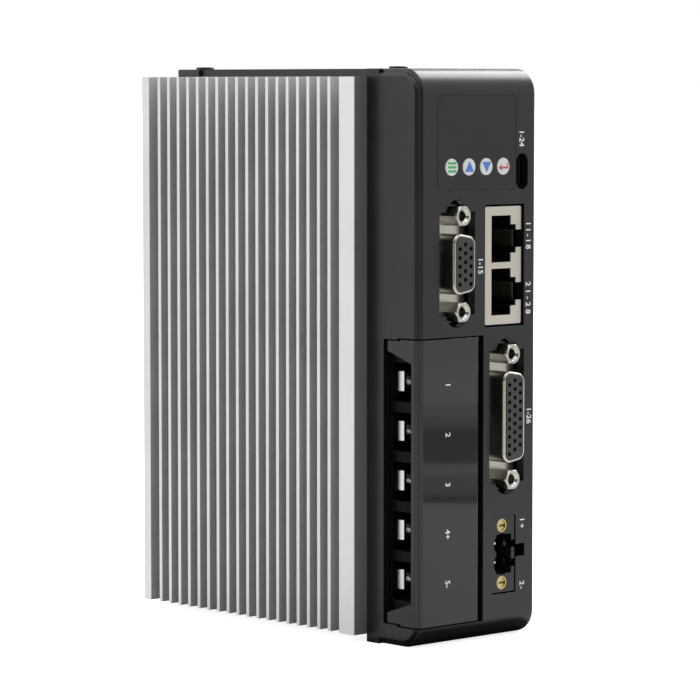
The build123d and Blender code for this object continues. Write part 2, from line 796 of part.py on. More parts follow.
with BuildPart() as display_board:
    box(panel_t + board_edge, board_right_x, display_board_d, display_board_d + board_t,
        overlay_z - 1, board_top)
    rod(display_bosses, board_screw_r, display_board_d - 1, display_board_d + board_t + 1,
        Mode.SUBTRACT)
save(display_board, "display_board")
board_screws(display_bosses, display_board_d, "display_board_screws")

with BuildPart() as control_board:
    box(panel_t + board_edge, board_right_x, control_board_d, control_board_d + board_t,
        door_top + 3, board_top)
    box(door_open_x + partition_t + board_edge, board_right_x, control_board_d,
        control_board_d + board_t, board_low, door_top + 4)
    rod(control_bosses, board_screw_r, control_board_d - 1, control_board_d + board_t + 1,
        Mode.SUBTRACT)
save(control_board, "control_board")
board_screws(control_bosses, control_board_d, "control_board_screws")

# Power board: stands behind the heatsink's base plate, on four pillars.
with BuildPart() as power_board:
    box(power_board_x, power_board_x + board_t, panel_d + 1.5, body_d - plate_t - 1,
        plate_t + 2, body_h - plate_t - 2)
    with BuildSketch(across(power_board_x - 1)):
        with Locations(*pillars):
            Circle(board_screw_r)
    extrude(amount=board_t + 2, mode=Mode.SUBTRACT)
save(power_board, "power_board")

with BuildPart() as board_pillars:
    with BuildSketch(across(base_back_x)):
        with Locations(*pillars):
            RegularPolygon(pillar_r, 6)
            Circle(board_screw_r, mode=Mode.SUBTRACT)
    extrude(amount=power_board_x - base_back_x)
save(board_pillars, "board_pillars")

with BuildPart() as power_board_screws:
    with BuildSketch(across(base_back_x - inner_screw_l + 0.5)):
        with Locations(*pillars):
            Circle(board_screw_r * 0.95)
    extrude(amount=power_board_x + board_t - base_back_x + inner_screw_l)
    with BuildSketch(across(power_board_x + board_t)):
        with Locations(*pillars):
            Circle(board_head_r)
    extrude(amount=board_head_t)
save(power_board_screws, "power_board_screws")

# Plug between the control board and the power board.
board_back_x = power_board_x + board_t
control_back_d = control_board_d + board_t
with BuildPart() as board_link:
    box(board_back_x, board_back_x + link_w, control_back_d, control_back_d + link_l,
        net_z - link_h / 2, net_z + link_h / 2)
save(board_link, "board_link")


# ---- D-shaped ports ----
def port_rows(x, z, counts):
    """Contact centres of a port with three staggered rows, its longest row on the left."""
    points = []
    for row, count in enumerate(counts):
        shift = contact_pitch / 4 * (1 if row == 1 else -1)
        top = z + (counts[0] - 1) / 2 * contact_pitch + shift
        for i in range(count):
            points.append((x + (row - 1) * contact_row, top - i * contact_pitch))
    return points


def d_shape(sketch, x, z, length, width, r):
    """A D with its long side on the left and round corners."""
    slope = width * math.tan(math.radians(port_slope))
    with BuildLine() as outline:
        Polyline(
            (x - width / 2, z - length / 2),
            (x + width / 2, z - length / 2 + slope),
            (x + width / 2, z + length / 2 - slope),
            (x - width / 2, z + length / 2),
            close=True,
        )
    make_face(outline.edges())
    fillet(sketch.vertices(), radius=r)


def make_port(name, x, z, shell_l, flange_l, jacks, counts):
    """One port: shell with its flange, core, body, contacts and two jackscrews."""
    jack_points = [(x, z - jacks / 2), (x, z + jacks / 2)]
    pins = port_rows(x, z, counts)
    flange_back = port_flange_d + port_flange_t
    inner_l = shell_l - 2 * port_shell_t
    inner_w = port_shell_w - 2 * port_shell_t

    with BuildPart() as shell:
        with BuildSketch(behind(port_flange_d)):
            with Locations((x, z)):
                RectangleRounded(port_flange_w, flange_l, 1.5)
        extrude(amount=-port_flange_t)
        with BuildSketch(behind(port_flange_d)) as outline:
            d_shape(outline, x, z, shell_l, port_shell_w, 2.4)
        extrude(amount=port_flange_d + port_reach)
        with BuildSketch(behind(flange_back)) as hollow:
            d_shape(hollow, x, z, inner_l, inner_w, 1.7)
        extrude(amount=flange_back + port_reach, mode=Mode.SUBTRACT)
        rim_face = shell.faces().filter_by(Axis.Y).group_by(Axis.Y)[0][0]
        fillet(rim_face.outer_wire().edges(), radius=port_rim_r)
        rod(jack_points, jack_stud_r + m3_clear, port_flange_d - 0.1, flange_back + 0.1,
            Mode.SUBTRACT)
    save(shell, name + "_shell")

    with BuildPart() as core:
        with BuildSketch(behind(flange_back)) as filling:
            d_shape(filling, x, z, inner_l - 0.1, inner_w - 0.1, 1.65)
        extrude(amount=flange_back + port_core_reach)
        rod(pins, contact_r + 0.02, -port_core_reach - 1, flange_back + 1, Mode.SUBTRACT)
    save(core, name + "_core")

    with BuildPart() as body:
        box(x - port_body_w / 2, x + port_body_w / 2, flange_back, control_board_d,
            z - flange_l / 2 + port_body_edge, z + flange_l / 2 - port_body_edge)
        rod(pins, contact_r + 0.02, flange_back - 1, control_board_d + 1, Mode.SUBTRACT)
        rod(jack_points, jack_stud_r + m3_clear, flange_back - 1,
            flange_back + jack_stud_l + jack_stud_room, Mode.SUBTRACT)
    save(body, name + "_body")

    with BuildPart() as contacts:
        rod(pins, contact_r, contact_sink - port_core_reach, control_board_d)
        rod(pins, contact_bore_r, -port_core_reach,
            contact_sink + contact_bore_l - port_core_reach, Mode.SUBTRACT)
    save(contacts, name + "_contacts")

    with BuildPart() as jackscrews:
        with BuildSketch(behind(port_flange_d)):
            with Locations(*jack_points):
                RegularPolygon(jack_hex_r, 6, major_radius=False)
        extrude(amount=port_flange_d + jack_reach)
        with BuildSketch(behind(-jack_reach)):
            with Locations(*jack_points):
                Circle(jack_crown_r)
        extrude(amount=-(port_flange_d + jack_reach), taper=-45, mode=Mode.INTERSECT)
        with BuildSketch(behind(-jack_reach)):
            with Locations(*jack_points):
                Circle(jack_sink_r)
        extrude(amount=jack_bore_r - jack_sink_r, taper=45, mode=Mode.SUBTRACT)
        rod(jack_points, jack_stud_r, port_flange_d - 0.1, flange_back + jack_stud_l)
        rod(jack_points, jack_bore_r, -jack_reach - 0.1, jack_bore_l - jack_reach, Mode.SUBTRACT)
    save(jackscrews, name + "_jackscrews")


make_port("feedback_port", feedback_x, feedback_z, feedback_shell_l, feedback_flange_l,
          feedback_jacks, feedback_count_by_row)
make_port("signal_port", signal_x, signal_z, signal_shell_l, signal_flange_l,
          signal_jacks, signal_count_by_row)


# ---- network ports ----
port_zs = [net_z - net_pitch / 2, net_z + net_pitch / 2]

with BuildPart() as net_shield:
    box(net_left, net_left + net_w, net_d, control_board_d, net_z - net_h / 2, net_z + net_h / 2)
    fillet(net_shield.edges().filter_by(Axis.Y), radius=0.6)
    box(net_left + net_t, net_left + net_w - net_t, net_d + net_t, control_board_d + 1,
        net_z - net_h / 2 + net_t, net_z + net_h / 2 - net_t, Mode.SUBTRACT)
    for z in port_zs:
        for x0, x1, h in (
            (net_main_x, net_step_x, net_main_h),
            (net_step_x - 0.1, net_latch_x, net_step_h),
            (net_latch_x - 0.1, net_left + net_w + 1, net_latch_h),
        ):
            box(x0, x1, net_d - 1, net_d + net_t + 0.1, z - h / 2, z + h / 2, Mode.SUBTRACT)
        box(net_left + net_w - 1, net_left + net_w + 1, net_d - 1, net_d + 3,
            z - net_latch_h / 2, z + net_latch_h / 2, Mode.SUBTRACT)
save(net_shield, "network_shield")

net_back = net_d + net_port_l
with BuildPart() as net_insert:
    box(net_left + net_t + 0.05, net_left + net_w - net_t - 0.05, net_d + net_t, control_board_d,
        net_z - net_h / 2 + net_t + 0.05, net_z + net_h / 2 - net_t - 0.05)
    for z in port_zs:
        for x0, x1, h in (
            (net_main_x, net_step_x, net_main_h),
            (net_step_x - 0.1, net_latch_x, net_step_h),
            (net_latch_x - 0.1, net_left + net_w, net_latch_h),
        ):
            box(x0, x1, net_d, net_back, z - h / 2, z + h / 2, Mode.SUBTRACT)
save(net_insert, "network_insert")

# Eight sprung wires in each network port, slanting in from its left wall.
net_wire_t = 0.4
with BuildPart() as net_contacts:
    for z in port_zs:
        for i in range(8):
            wire_z = z + (i - 3.5) * 1.02
            with BuildSketch(above(wire_z - net_wire_t / 2)):
                with BuildLine():
                    Polyline(
                        (net_main_x, net_d + 3.0),
                        (net_main_x + 0.5, net_d + 3.0),
                        (net_main_x + 2.9, net_back),
                        (net_main_x, net_back),
                        (net_main_x, net_back - net_wire_t),
                        (net_main_x + 2.2, net_back - net_wire_t),
                        (net_main_x, net_d + 3.6),
                        close=True,
                    )
                make_face()
            extrude(amount=net_wire_t)
save(net_contacts, "network_contacts")


# ---- service port ----
with BuildPart() as usb_shell:
    with BuildSketch(behind(usb_d)):
        with Locations((usb_x, usb_z)):
            SlotOverall(usb_h, usb_w, rotation=90)
            SlotOverall(usb_h - 2 * usb_t, usb_w - 2 * usb_t, rotation=90, mode=Mode.SUBTRACT)
    extrude(amount=usb_d - display_board_d)
save(usb_shell, "service_port_shell")

with BuildPart() as usb_tongue:
    box(usb_x - usb_tongue_w / 2, usb_x + usb_tongue_w / 2, usb_d + 0.8, display_board_d,
        usb_z - usb_tongue_h / 2, usb_z + usb_tongue_h / 2)
    with BuildSketch(behind(display_board_d)):
        with Locations((usb_x, usb_z)):
            SlotOverall(usb_h - 2 * usb_t - 0.1, usb_w - 2 * usb_t - 0.1, rotation=90)
    extrude(amount=1.2)
save(usb_tongue, "service_port_tongue")


# ---- brake resistor header ----
head_pin_zs = [head_mid_z - head_pin_pitch / 2, head_mid_z + head_pin_pitch / 2]
head_screw_points = [
    (head_pin_x, head_mid_z - head_screw_pitch / 2),
    (head_pin_x, head_mid_z + head_screw_pitch / 2),
]

with BuildPart() as header_body:
    box(head_x, head_x + head_w, head_d, control_board_d, head_z, head_z + head_h)
    with BuildSketch(behind(head_d)):
        with Locations((head_mouth_x + head_mouth_w / 2, head_mid_z)):
            Rectangle(head_mouth_w, head_mouth_h)
        with Locations(*[(head_pin_x, z) for z in head_pin_zs]):
            Circle(head_lobe_r)
    extrude(amount=-head_mouth_l, mode=Mode.SUBTRACT)
    for z in head_pin_zs:
        box(head_x + head_w - head_key_w, head_x + head_w + 1, head_d - 1, head_d + head_key_l,
            z - head_key_h / 2, z + head_key_h / 2, Mode.SUBTRACT)
    rod(head_screw_points, head_screw_r + 0.02, head_d - 1, head_d + head_screw_l, Mode.SUBTRACT)
    for z in head_pin_zs:
        half = head_pin_t / 2 + 0.02
        box(head_pin_x - half, head_pin_x + half, head_mouth_l, control_board_d + 1,
            z - half, z + half, Mode.SUBTRACT)
save(header_body, "resistor_header")

with BuildPart() as header_pins:
    for z in head_pin_zs:
        half = head_pin_t / 2
        box(head_pin_x - half, head_pin_x + half, head_pin_d, control_board_d,
            z - half, z + half)
    tips = header_pins.faces().filter_by(Axis.Y).group_by(Axis.Y)[0].edges()
    chamfer(tips, length=0.25)
save(header_pins, "header_pins")

# Two brass screws hold the header: each face is dished and has a level slot.
with BuildPart() as header_screws:
    rod(head_screw_points, head_screw_r, head_d + 0.05, head_d + head_screw_l)
    dish_d = head_d + 0.05 + head_dish_deep
    rod(head_screw_points, head_dish_r, head_d, dish_d, Mode.SUBTRACT)
    for x, z in head_screw_points:
        box(x - head_dish_r, x + head_dish_r, head_d, dish_d + head_slot_deep,
            z - head_slot_w / 2, z + head_slot_w / 2, Mode.SUBTRACT)
save(header_screws, "header_screws")


# ---- screws of the housing ----
with BuildPart() as cover_screws_top:
    with BuildSketch(above(body_h)):
        with Locations(*cover_screws):
            Circle(cover_head_r)
    extrude(amount=cover_head_t)
    crowns = cover_screws_top.faces().group_by(Axis.Z)[-1].edges()
    fillet(crowns, radius=cover_head_t / 2)
    with BuildSketch(above(body_h + 0.1)):
        with Locations(*cover_screws):
            Circle(m3_r)
    extrude(amount=-(plate_t + cover_screw_l - 0.5), mode=Mode.ADD)
    with BuildSketch(above(body_h + cover_head_t)):
        with Locations(*cover_screws):
            RegularPolygon(hex_key_r, 6)
    extrude(amount=-hex_key_deep, mode=Mode.SUBTRACT)
save(cover_screws_top, "cover_screws")

with BuildPart() as base_screws:
    with BuildSketch(above(0)):
        with Locations(*cover_screws):
            Circle(sunk_head_r)
    extrude(amount=sunk_head_t, taper=45)
    with BuildSketch(above(0)):
        with Locations(*cover_screws):
            Circle(m3_r)
    extrude(amount=plate_t + cover_screw_l - 0.5)
    with BuildSketch(above(0)):
        with Locations(*cover_screws):
            RegularPolygon(hex_key_r, 6)
    extrude(amount=hex_key_deep, mode=Mode.SUBTRACT)
save(base_screws, "base_screws")


# ---- power parts on the heatsink ----
switch_low = switch_z - switch_h / 2

with BuildPart() as thermal_pad:
    box(base_back_x, switch_x, switch_ds[0] - switch_w / 2 - 1, switch_ds[-1] + switch_w / 2 + 1,
        switch_low - tab_h - 1, switch_z + switch_h / 2 + 1)
    with BuildSketch(across(base_back_x)):
        with Locations(*[(depth, tab_z) for depth in switch_ds]):
            Circle(m3_r + m3_clear)
    extrude(amount=pad_t, mode=Mode.SUBTRACT)
save(thermal_pad, "thermal_pad")

with BuildPart() as power_switches:
    for depth in switch_ds:
        half = switch_w / 2
        box(switch_x, switch_x + switch_t, depth - half, depth + half,
            switch_low, switch_z + switch_h / 2)
        box(switch_x, switch_x + tab_t, depth - half, depth + half, switch_low - tab_h,
            switch_low + 0.5)
        for i in range(3):
            lead = depth + (i - 1) * lead_pitch
            low = switch_z + switch_h / 2
            lead_x = switch_x + 2.4
            box(lead_x, lead_x + 0.5, lead - lead_w / 2, lead + lead_w / 2, low - 0.5, low + lead_l)
            box(lead_x, power_board_x, lead - lead_w / 2, lead + lead_w / 2,
                low + lead_l - 0.5, low + lead_l)
    with BuildSketch(across(switch_x)):
        with Locations(*[(depth, tab_z) for depth in switch_ds]):
            Circle(m3_r + m3_clear)
    extrude(amount=tab_t, mode=Mode.SUBTRACT)
save(power_switches, "power_switches")

with BuildPart() as power_switch_screws:
    with BuildSketch(across(switch_x + tab_t)):
        with Locations(*[(depth, tab_z) for depth in switch_ds]):
            Circle(cover_head_r)
    extrude(amount=2.0)
    with BuildSketch(across(base_back_x - inner_screw_l + 0.5)):
        with Locations(*[(depth, tab_z) for depth in switch_ds]):
            Circle(m3_r)
    extrude(amount=inner_screw_l - 0.5 + pad_t + tab_t + 0.1)
save(power_switch_screws, "power_switch_screws")

with BuildPart() as capacitors:
    with BuildSketch(across(board_back_x)):
        with Locations(*[(cap_depth, z) for z in cap_zs]):
            Circle(cap_r)
    extrude(amount=cap_l)
    rims = capacitors.faces().filter_by(Axis.X).group_by(Axis.X)[-1].edges()
    fillet(rims, radius=0.8)
save(capacitors, "capacitors")

with BuildPart() as driver_chips:
    for depth in switch_ds[::2]:
        box(board_back_x, board_back_x + chip_t, depth - driver_w / 2, depth + driver_w / 2,
            switch_z - driver_h / 2, switch_z + driver_h / 2)
save(driver_chips, "driver_chips")

with BuildPart() as control_chip:
    chip_x = board_back_x + link_w + 1
    chip_w = board_right_x - chip_end - chip_x
    box(chip_x, chip_x + chip_w, control_back_d, control_back_d + chip_t, net_z, net_z + chip_w)
save(control_chip, "control_chip")

with BuildPart() as insulating_sheet:
    box(body_w - plate_t - sheet_t, body_w - plate_t, cap_d + sheet_front,
        body_d - plate_t - sheet_edge, plate_t + sheet_edge, body_h - plate_t - sheet_edge)
save(insulating_sheet, "insulating_sheet")
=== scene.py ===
# %% [markdown]
# # A compact servo drive, finished in Blender
# The drive is an upright metal and plastic box: a grey moulded front with its sockets, a small
# display with four keys, a glossy door over the motor terminals, and a heatsink whose fins reach
# out to the left. Its shapes come from a CAD model that is loaded as a fixed frame. This lesson
# gives every piece its finish, adds the printed marks and sets up the camera and the studio.

# %% Load the frame
import json
import math

import bmesh
import bpy
from mathutils import Matrix, Vector


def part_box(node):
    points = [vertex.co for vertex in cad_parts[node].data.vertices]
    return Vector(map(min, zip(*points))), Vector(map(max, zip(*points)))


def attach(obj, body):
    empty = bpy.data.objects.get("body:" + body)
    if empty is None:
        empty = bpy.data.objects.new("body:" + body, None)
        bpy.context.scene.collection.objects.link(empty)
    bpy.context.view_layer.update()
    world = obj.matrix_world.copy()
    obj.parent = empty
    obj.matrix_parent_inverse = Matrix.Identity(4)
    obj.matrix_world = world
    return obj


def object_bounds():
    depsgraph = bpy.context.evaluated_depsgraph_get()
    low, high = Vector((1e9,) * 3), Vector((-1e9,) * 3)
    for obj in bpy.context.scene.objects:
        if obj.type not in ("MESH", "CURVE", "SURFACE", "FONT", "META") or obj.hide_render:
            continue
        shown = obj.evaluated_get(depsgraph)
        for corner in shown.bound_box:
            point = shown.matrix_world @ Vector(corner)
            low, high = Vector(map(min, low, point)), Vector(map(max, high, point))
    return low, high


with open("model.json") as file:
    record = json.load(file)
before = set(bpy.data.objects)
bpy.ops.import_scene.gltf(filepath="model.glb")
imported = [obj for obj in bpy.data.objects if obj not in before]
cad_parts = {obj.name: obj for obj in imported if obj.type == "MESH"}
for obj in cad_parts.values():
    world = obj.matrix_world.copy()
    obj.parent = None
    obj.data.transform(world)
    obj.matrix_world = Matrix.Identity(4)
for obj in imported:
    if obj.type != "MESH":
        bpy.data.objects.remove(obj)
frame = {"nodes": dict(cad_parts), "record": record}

cad_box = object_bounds()
nodes = frame["nodes"]

# %% [markdown]
# ## Camera
# The drive is seen from its front left corner, a little from above, through a long lens, which
# keeps its upright edges nearly parallel. A camera is easiest to place by what it looks at: a
# point near the middle of the drive, a compass angle, a height angle and a distance.

# %% Camera
aim_at = Vector((0.00225, -0.0024, 0.07425))
turned = math.radians(42.438)      # from straight ahead towards the left corner
raised = math.radians(4.46)
away = 0.928

to_camera = Vector((-math.sin(turned) * math.cos(raised),
                    -math.cos(turned) * math.cos(raised), math.sin(raised)))
camera = bpy.data.objects.new("camera", bpy.data.cameras.new("camera"))
bpy.context.scene.collection.objects.link(camera)
camera.data.lens = 175.0
camera.data.sensor_width = 36.0
camera.data.clip_start = 0.01
camera.data.clip_end = 50.0
camera.location = aim_at + away * to_camera
camera.rotation_euler = (-to_camera).to_track_quat("-Z", "Y").to_euler()
bpy.context.scene.camera = camera
bpy.context.scene.view_settings.view_transform = "Standard"
print("camera stands", round(away, 3), "m away at", tuple(round(v, 3) for v in camera.location))

# %% [markdown]
# ## Studio
# The drive stands on a plain pale floor in soft light. Black plastic and bare metal show what
# surrounds them more than their own colour, so the surroundings are part of their look. A
# studio could be a closed room of walls and softboxes. An open floor under a white world is
# simpler, and the few things that the drive has to mirror are added to it as cards. The next
# cells hold the helpers for that.

# %% Studio helpers
def place(thing, name):
    """Wrap data in an object of that name and link it to the scene."""
    wrapped = bpy.data.objects.new(name, thing)
    bpy.context.scene.collection.objects.link(wrapped)
    return wrapped


def soft_lamp(name, at, watts, width, height):
    """A large rectangular lamp that points at the drive's middle."""
    lamp = bpy.data.lights.new(name, "AREA")
    lamp.shape = "RECTANGLE"
    lamp.size = width
    lamp.size_y = height
    lamp.energy = watts
    stand = place(lamp, name)
    stand.location = at
    stand.rotation_euler = (Vector((0, 0, 0.08)) - Vector(at)).to_track_quat("-Z", "Y").to_euler()


def seen_directly(tree):
    """1 for rays from the camera, from reflections and through glass, 0 for lighting rays."""
    path = tree.nodes.new("ShaderNodeLightPath")
    total = path.outputs["Is Camera Ray"]
    for other in ("Is Glossy Ray", "Is Transmission Ray"):
        either = tree.nodes.new("ShaderNodeMath")
        either.operation = "MAXIMUM"
        tree.links.new(total, either.inputs[0])
        tree.links.new(path.outputs[other], either.inputs[1])
        total = either.outputs[0]
    return total


def sheet_mesh(name, corners):
    """A single flat face through four corners."""
    mesh = bpy.data.meshes.new(name)
    mesh.from_pydata(corners, [], [(0, 1, 2, 3)])
    return mesh


# %% [markdown]
# ## World and floor
# The world is white where it is seen, and half as bright where it lights the drive, so that
# colours keep a plain level. The floor is a pale matt sheet that catches the drive's shadow. It
# glows a little for the camera, which carries it to white, and less for reflections, so that
# black plastic mirrors it as grey.

# %% World
world = bpy.data.worlds.new("studio")
bpy.context.scene.world = world
world.use_nodes = True
tree = world.node_tree
sky = tree.nodes["Background"]
sky.inputs["Color"].default_value = (1, 1, 1, 1)
level = tree.nodes.new("ShaderNodeMapRange")
level.inputs["To Min"].default_value = 0.5      # what lights the drive
level.inputs["To Max"].default_value = 1.0      # what is seen: white
tree.links.new(seen_directly(tree), level.inputs["Value"])
tree.links.new(level.outputs[0], sky.inputs["Strength"])
print("world:", level.inputs["To Max"].default_value, "seen,",
      level.inputs["To Min"].default_value, "as light")

# %% Floor
reach = 14.0
floor = place(sheet_mesh("floor", [(-reach, -reach, 0), (reach, -reach, 0), (reach, reach, 0),
                                   (-reach, reach, 0)]), "floor")
pale = bpy.data.materials.new("pale_floor")
pale.use_nodes = True
tree = pale.node_tree
base = tree.nodes["Principled BSDF"]
base.inputs["Base Color"].default_value = (0.86, 0.86, 0.86, 1)
base.inputs["Roughness"].default_value = 0.95
base.inputs["Specular IOR Level"].default_value = 0.0
base.inputs["Emission Color"].default_value = (1, 1, 1, 1)
path = tree.nodes.new("ShaderNodeLightPath")
lift = tree.nodes.new("ShaderNodeMapRange")
lift.inputs["To Max"].default_value = 0.6       # the camera gets this more
mirrored = tree.nodes.new("ShaderNodeMapRange")
mirrored.inputs["To Max"].default_value = 0.2   # than reflections, on top of the lit floor
total = tree.nodes.new("ShaderNodeMath")
tree.links.new(path.outputs["Is Camera Ray"], lift.inputs["Value"])
tree.links.new(seen_directly(tree), mirrored.inputs["Value"])
tree.links.new(lift.outputs[0], total.inputs[0])
tree.links.new(mirrored.outputs[0], total.inputs[1])
tree.links.new(total.outputs[0], base.inputs["Emission Strength"])
floor.data.materials.append(pale)
print("floor:", 2 * reach, "m square")

# %% [markdown]
# ## Cards that only reflections see
# Photographers stand dark cards beside glossy black things, to give their edges a shape. Here a
# dark wall on the camera's side darkens every edge that faces it, and grey strips on the floor
# make the soft bands that the polished door mirrors. A small dark card under the drive is painted
# shade: it stands for the drive's shadow on the floor, which its lowest faces mirror. The camera,
# the lamps and soft light don't meet the cards.

# %% A felt card
def dark_card(name, corners, shade=0.03):
    """A felt card of a shade from 0, black, to 1, white, that only reflections see."""
    felt = bpy.data.materials.new(name + "_felt")
    felt.use_nodes = True
    base = felt.node_tree.nodes["Principled BSDF"]
    base.inputs["Base Color"].default_value = (shade, shade, shade, 1)
    base.inputs["Roughness"].default_value = 1.0
    card = place(sheet_mesh(name, corners), name)
    card.data.materials.append(felt)
    for ray in ("camera", "diffuse", "shadow", "transmission", "volume_scatter"):
        setattr(card, "visible_" + ray, False)


def on_compass(angle, distance, height):
    """A point at a compass angle in degrees from straight ahead (-Y) towards the left (-X)."""
    a = math.radians(angle)
    return (-math.sin(a) * distance, -math.cos(a) * distance, height)


# %% The dark wall, a ring of cards
wall_away = 1.3
wall_h = 0.75
wall_angles = [-8, 12, 32, 52, 72, 92]
for i, (start, end) in enumerate(zip(wall_angles, wall_angles[1:])):
    dark_card(f"dark_wall_{i}", [on_compass(start, wall_away, 0.0),
                                 on_compass(end, wall_away, 0.0),
                                 on_compass(end, wall_away, wall_h),
                                 on_compass(start, wall_away, wall_h)])
print("dark wall:", wall_angles[-1] - wall_angles[0], "degrees round the drive")

# %% Grey strips on the floor, which the polished door mirrors as soft bands
strip_up = 0.002            # lifted clear of the floor
strip_from = -60            # compass angles
strip_to = -25
strips = [(0.336, 0.362, 0.34), (0.362, 0.427, 0.62), (0.427, 0.466, 0.85), (0.466, 0.609, 0.33),
          (0.609, 0.66, 0.62), (0.66, 0.72, 0.78)]       # near, far, how light
for i, (near, far, light) in enumerate(strips):
    dark_card(f"dark_strip_{i}", [on_compass(angle, distance, strip_up) for angle, distance in
                                  ((strip_from, near), (strip_to, near), (strip_to, far),
                                   (strip_from, far))], light)
print("grey strips:", len(strips))

# %% The card under the drive, painted shade
low, high = cad_box
margin = 0.002
foot_up = 1e-4
# Painted shade: a dark card that reflections see in place of the floor's shade beneath the drive.
dark_card("dark_foot", [(low.x - margin, low.y - margin, foot_up),
                        (high.x + margin, low.y - margin, foot_up),
                        (high.x + margin, high.y + margin, foot_up),
                        (low.x - margin, high.y + margin, foot_up)])
print("card under the drive:", round((high.y - low.y + 2 * margin) * 1000, 1), "mm deep")

# %% [markdown]
# ## Lamps
# Three large softboxes: a weak one behind on the left that lights the fins' tips, a strong one
# at the upper right that draws the light line along the top corner, and one overhead. Large
# lamps give soft shadows, and their size also sets how wide their reflections are.

# %% Lamps
soft_lamp("left_window", (-1.3, 0.9, 0.8), 6.0, 1.0, 1.0)
soft_lamp("upper_right", (1.1, 0.15, 1.0), 18.0, 0.9, 0.9)
soft_lamp("overhead", (-0.3, -0.5, 1.7), 9.0, 1.2, 1.2)
print("lamps:", [lamp.name for lamp in bpy.data.lights])

# %% [markdown]
# ## Finishes
# Every finish starts from the same recipe: a broad noise that shifts the colour and the gloss a
# little, as handling and moulding do, and a fine noise that gives the surface its grain through
# a bump. The bump rests on a bevel node, which rounds sharp edges in the shading, so that edges
# catch the light as real moulded or deburred ones do. Moulded plastic, sawn metal and plated
# sheet differ in the size, stretch and strength of the two noises. A finish is named like the
# slot that it fills.

# %% The recipe
made = {}


def noise(tree, scale, detail=2.0, stretch=(1, 1, 1)):
    """A noise over the piece's own coordinates, in cycles per metre, stretched along an axis."""
    where = tree.nodes.new("ShaderNodeTexCoord")
    turn = tree.nodes.new("ShaderNodeMapping")
    turn.inputs["Scale"].default_value = stretch
    tree.links.new(where.outputs["Object"], turn.inputs["Vector"])
    cloud = tree.nodes.new("ShaderNodeTexNoise")
    cloud.inputs["Scale"].default_value = scale
    cloud.inputs["Detail"].default_value = detail
    tree.links.new(turn.outputs[0], cloud.inputs["Vector"])
    return cloud.outputs["Fac"]


def between(tree, value, low, high, start=0.3, end=0.7):
    """Map a value's range start..end onto low..high."""
    remap = tree.nodes.new("ShaderNodeMapRange")
    remap.inputs["From Min"].default_value = start
    remap.inputs["From Max"].default_value = end
    remap.inputs["To Min"].default_value = low
    remap.inputs["To Max"].default_value = high
    tree.links.new(value, remap.inputs["Value"])
    return remap.outputs[0]


def blend_colours(tree, share, first, second):
    """Mix two colours by a share, which may come from a noise. A colour may be a socket."""
    mix = tree.nodes.new("ShaderNodeMix")
    mix.data_type = "RGBA"
    tree.links.new(share, mix.inputs["Factor"])
    for socket, colour in ((mix.inputs[6], first), (mix.inputs[7], second)):
        if isinstance(colour, bpy.types.NodeSocket):
            tree.links.new(colour, socket)
        else:
            socket.default_value = (*colour, 1)
    return mix.outputs[2]


def rounded_edges(tree, radius):
    """A normal that turns smoothly over sharp edges, as if they had that radius in metres."""
    edge = tree.nodes.new("ShaderNodeBevel")
    edge.samples = 4
    edge.inputs["Radius"].default_value = radius
    return edge.outputs[0]


def bump(tree, height, depth, under=None):
    """Turn a height into a bump of a depth in metres, over another normal if there is one."""
    relief = tree.nodes.new("ShaderNodeBump")
    relief.inputs["Distance"].default_value = depth
    tree.links.new(height, relief.inputs["Height"])
    if under is not None:
        tree.links.new(under, relief.inputs["Normal"])
    return relief.outputs[0]


def painted_edge_highlights(tree, colour, bevel, edge_highlight):
    """Paint a highlight: blend a colour towards a lighter one where the rounded normal leaves the
    flat one.
    """
    flat = tree.nodes.new("ShaderNodeNewGeometry")
    turn = tree.nodes.new("ShaderNodeVectorMath")
    turn.operation = "DOT_PRODUCT"
    tree.links.new(flat.outputs["True Normal"], turn.inputs[0])
    tree.links.new(bevel, turn.inputs[1])
    return blend_colours(tree, between(tree, turn.outputs["Value"], 1.0, 0.0, 0.75, 0.97),
                         colour, edge_highlight)


def finish(name, dark, light, gloss=(0.4, 0.5), broad=60, grain=2500, depth=1e-5, metal=0.0,
           stretch=(1, 1, 1), edge=0.0, edge_highlight=None, **constants):
    """A finish between two colours and two roughnesses, with a grain of a size and depth."""
    material = bpy.data.materials.new(name)
    material.use_nodes = True
    tree = material.node_tree
    shader = tree.nodes["Principled BSDF"]
    cloud = noise(tree, broad, 3.0)
    fine = noise(tree, grain, 2.0, stretch)
    under = rounded_edges(tree, edge) if edge else None
    colour = blend_colours(tree, between(tree, cloud, 0, 1), dark, light)
    # Painted highlight: edges are lightened towards a given colour, as if they caught the light.
    if edge_highlight:
        colour = painted_edge_highlights(tree, colour, under, edge_highlight)
    tree.links.new(colour, shader.inputs["Base Color"])
    tree.links.new(between(tree, cloud, *gloss), shader.inputs["Roughness"])
    tree.links.new(bump(tree, fine, depth, under), shader.inputs["Normal"])
    shader.inputs["Metallic"].default_value = metal
    for socket, value in constants.items():
        shader.inputs[socket.replace("_", " ")].default_value = value
    made[name] = material
    return material, tree, shader


# %% [markdown]
# ## Plastics
# The housing is black moulded plastic with a very fine eroded texture: nearly black by itself,
# and grey only where it mirrors the white room. The door is the same plastic from a polished
# mould, so its reflections are sharp. The parts inside and behind get a plain finish each.

# %% The housing, the door and the front film
finish("shell", (0.005, 0.005, 0.0055), (0.008, 0.008, 0.0085), (0.27, 0.32), grain=4200,
       depth=6e-6, edge=1.5e-4, Specular_IOR_Level=0.42)
finish("cover", (0.008, 0.008, 0.0085), (0.012, 0.012, 0.0125), (0.36, 0.42), grain=3200,
       depth=8e-6, edge=1.5e-4)
finish("door", (0.004, 0.004, 0.0045), (0.006, 0.006, 0.0065), (0.03, 0.05), grain=900,
       depth=2e-7, edge=1.5e-4, Specular_IOR_Level=0.46)
